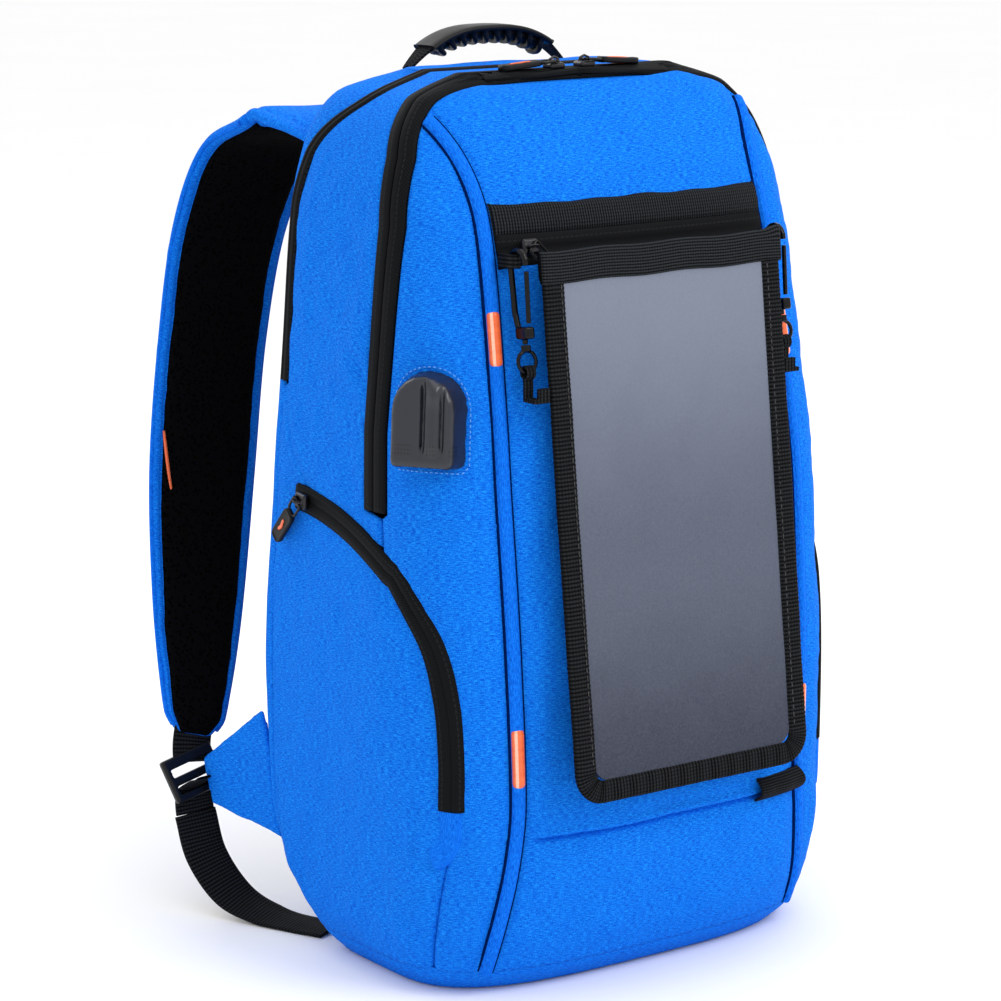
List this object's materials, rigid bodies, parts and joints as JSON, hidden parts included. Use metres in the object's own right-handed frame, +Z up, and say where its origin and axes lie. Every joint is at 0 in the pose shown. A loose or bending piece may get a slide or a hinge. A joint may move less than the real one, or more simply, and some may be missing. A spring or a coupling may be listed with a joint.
{
  "type": "solar backpack",
  "caption": "Rounded zipped backpack with a solar panel hung on its front by snap hooks, a fold-down top front, a charging port hood, a carry handle and padded straps.",
  "frame": {"origin": "middle of the flat base, on the ground under the bag", "axes": "+Z up, -Y out of the front with the solar panel, +X to the right seen from the front"},
  "size_m": [0.3354, 0.3302, 0.5003],
  "materials": {
    "blue_fabric": "woven melange polyester",
    "black_fabric": "plain woven lining",
    "black_mesh": "air mesh over foam",
    "black_webbing": "ribbed webbing",
    "zip_tape": "coated zip tape",
    "blue_piping": "fabric piping",
    "panel_film": "matte textured film",
    "black_rubber": "matte moulded rubber",
    "black_plastic": "moulded plastic",
    "black_metal": "black nickel",
    "white_board": "stiffener board",
    "socket_steel": "plated steel"
  },
  "bodies": {
    "bag": {"lower_front": "blue_fabric", "cover_fold": "blue_fabric", "main_zip_tape": "zip_tape", "rear_shell": "blue_fabric", "laptop_zip_tape": "zip_tape", "back_panel": "black_mesh", "bottom_panel": "blue_fabric", "light_loop": "black_webbing", "usb_hood": "black_rubber", "usb_socket": "socket_steel", "usb_backing_plate": "black_plastic", "base_board": "white_board", "laptop_divider": "black_fabric", "frame_sheet": "white_board", "power_bank_pocket": "black_mesh", "piping_left_lower": "blue_piping", "piping_right_lower": "blue_piping", "side_zip_tape_left": "zip_tape", "side_zip_tape_right": "zip_tape", "wing_left": "blue_fabric", "wing_right": "blue_fabric", "webbing_tail_left": "black_webbing", "webbing_tail_right": "black_webbing", "yoke_left": "blue_fabric", "yoke_right": "blue_fabric"},
    "cover": {"front_cover": "blue_fabric", "cover_zip_tape": "zip_tape", "pocket_band": "black_webbing", "pocket_zip_tape": "zip_tape", "piping_left_upper": "blue_piping", "piping_right_upper": "blue_piping"},
    "tabs": {"hook_tab_left": "black_webbing", "hook_tab_right": "black_webbing"},
    "panel": {"panel_binding": "black_webbing", "solar_laminate": "panel_film", "panel_backing": "black_fabric", "charge_regulator": "black_plastic", "panel_tab_left": "black_webbing", "panel_tab_right": "black_webbing", "hook_eye_left": "black_metal", "hook_eye_right": "black_metal"},
    "handle": {"top_handle": "black_rubber"},
    "pocket_slider": {"pocket_slider": "black_metal"},
    "pocket_pull": {"pocket_pull": "black_rubber"},
    "hook_left": {"snap_hook_left": "black_metal"},
    "gate_left": {"hook_gate_left": "black_metal"},
    "main_slider_left": {"main_slider_left": "black_metal"},
    "main_pull_left": {"main_pull_left": "black_rubber"},
    "side_slider_left": {"side_slider_left": "black_metal"},
    "side_pull_left": {"side_pull_left": "black_rubber"},
    "strap_left": {"strap_left": "black_mesh"},
    "lock_left": {"ladder_lock_left": "black_plastic"},
    "hook_right": {"snap_hook_right": "black_metal"},
    "gate_right": {"hook_gate_right": "black_metal"},
    "main_slider_right": {"main_slider_right": "black_metal"},
    "main_pull_right": {"main_pull_right": "black_rubber"},
    "side_slider_right": {"side_slider_right": "black_metal"},
    "side_pull_right": {"side_pull_right": "black_rubber"},
    "strap_right": {"strap_right": "black_mesh"},
    "lock_right": {"ladder_lock_right": "black_plastic"}
  },
  "joints": [
    {"name": "cover_hinge", "type": "hinge", "parent": "bag", "child": "cover", "pos_m": [0, -0.02546, 0.363], "axis": [1, 0, 0], "range_deg": [0, 40], "deforming": ["cover_fold"]},
    {"name": "tab_swing", "type": "hinge", "parent": "cover", "child": "tabs", "pos_m": [0, -0.066, 0.403], "axis": [1, 0, 0], "range_deg": [-40, 0], "deforming": ["hook_tab_left", "hook_tab_right"]},
    {"name": "panel_lift", "type": "hinge", "parent": "tabs", "child": "panel", "pos_m": [0, -0.0735, 0.391], "axis": [1, 0, 0], "range_deg": [-75, 0]},
    {"name": "hook_swivel_left", "type": "hinge", "parent": "panel", "child": "hook_left", "pos_m": [-0.0845, -0.0735, 0.391], "axis": [0, 0.1478, 0.989], "range_deg": [-15, 15]},
    {"name": "gate_spring_left", "type": "hinge", "parent": "hook_left", "child": "gate_left", "pos_m": [-0.0845, -0.08272, 0.36043], "axis": [-1, 0, 0], "range_deg": [0, 20], "stiffness_Nm_per_rad": 0.02, "springref_deg": -5.73},
    {"name": "main_zip_left", "type": "slide", "parent": "bag", "child": "main_slider_left", "axis": [-1, 0, 0], "range_m": [0, 0.049]},
    {"name": "main_pull_lift_left", "type": "hinge", "parent": "main_slider_left", "child": "main_pull_left", "pos_m": [-0.01, -0.003, 0.4852], "axis": [0, 1, 0], "range_deg": [0, 150]},
    {"name": "side_zip_left", "type": "hinge", "parent": "bag", "child": "side_slider_left", "pos_m": [0, 0.07, 0.06], "axis": [1, 0, 0], "range_deg": [0, 24]},
    {"name": "side_pull_lift_left", "type": "hinge", "parent": "side_slider_left", "child": "side_pull_left", "pos_m": [-0.14312, 0.04962, 0.25404], "axis": [0, 0.6947, 0.7193], "range_deg": [0, 140]},
    {"name": "strap_swing_left", "type": "hinge", "parent": "bag", "child": "strap_left", "pos_m": [-0.078, 0.144, 0.447], "axis": [0.1893, -0.0427, 0.981], "range_deg": [-20, 45], "deforming": ["yoke_left"]},
    {"name": "lock_tilt_left", "type": "hinge", "parent": "strap_left", "child": "lock_left", "pos_m": [-0.1465, 0.1635, 0.0915], "axis": [-1, 0, 0], "range_deg": [-25, 8]},
    {"name": "hook_swivel_right", "type": "hinge", "parent": "panel", "child": "hook_right", "pos_m": [0.0845, -0.0735, 0.391], "axis": [0, 0.1478, 0.989], "range_deg": [-15, 15]},
    {"name": "gate_spring_right", "type": "hinge", "parent": "hook_right", "child": "gate_right", "pos_m": [0.0845, -0.08272, 0.36043], "axis": [-1, 0, 0], "range_deg": [0, 20], "stiffness_Nm_per_rad": 0.02, "springref_deg": -5.73},
    {"name": "main_zip_right", "type": "slide", "parent": "bag", "child": "main_slider_right", "axis": [1, 0, 0], "range_m": [0, 0.049]},
    {"name": "main_pull_lift_right", "type": "hinge", "parent": "main_slider_right", "child": "main_pull_right", "pos_m": [0.01, -0.003, 0.4852], "axis": [0, 1, 0], "range_deg": [-150, 0]},
    {"name": "side_zip_right", "type": "hinge", "parent": "bag", "child": "side_slider_right", "pos_m": [0, 0.07, 0.06], "axis": [1, 0, 0], "range_deg": [0, 24]},
    {"name": "side_pull_lift_right", "type": "hinge", "parent": "side_slider_right", "child": "side_pull_right", "pos_m": [0.14312, 0.04962, 0.25404], "axis": [0, -0.6947, -0.7193], "range_deg": [0, 140]},
    {"name": "strap_swing_right", "type": "hinge", "parent": "bag", "child": "strap_right", "pos_m": [0.078, 0.144, 0.447], "axis": [0.1893, 0.0427, -0.981], "range_deg": [-20, 45], "deforming": ["yoke_right"]},
    {"name": "lock_tilt_right", "type": "hinge", "parent": "strap_right", "child": "lock_right", "pos_m": [0.1465, 0.1635, 0.0915], "axis": [-1, 0, 0], "range_deg": [-25, 8]},
    {"name": "pocket_zip", "type": "slide", "parent": "cover", "child": "pocket_slider", "axis": [0.9985, -0.055, 0], "range_m": [0, 0.055]},
    {"name": "pocket_pull_lift", "type": "hinge", "parent": "pocket_slider", "child": "pocket_pull", "pos_m": [-0.07154, -0.06893, 0.3977], "axis": [-0.766, -0.1749, -0.6185], "range_deg": [0, 24]},
    {"name": "handle_fold", "type": "hinge", "parent": "bag", "child": "handle", "pos_m": [0, 0.076, 0.478], "axis": [1, 0, 0], "range_deg": [-85, 30]}
  ],
  "couplings": [
    {"joint": "tab_swing", "follows": "cover_hinge", "ratio": -1},
    {"joint": "main_zip_left", "follows": "cover_hinge", "m_per_rad": 0.07},
    {"joint": "main_zip_right", "follows": "cover_hinge", "m_per_rad": 0.07},
    {"joint": "pocket_pull_lift", "follows": "cover_hinge", "ratio": 0.55}
  ]
}
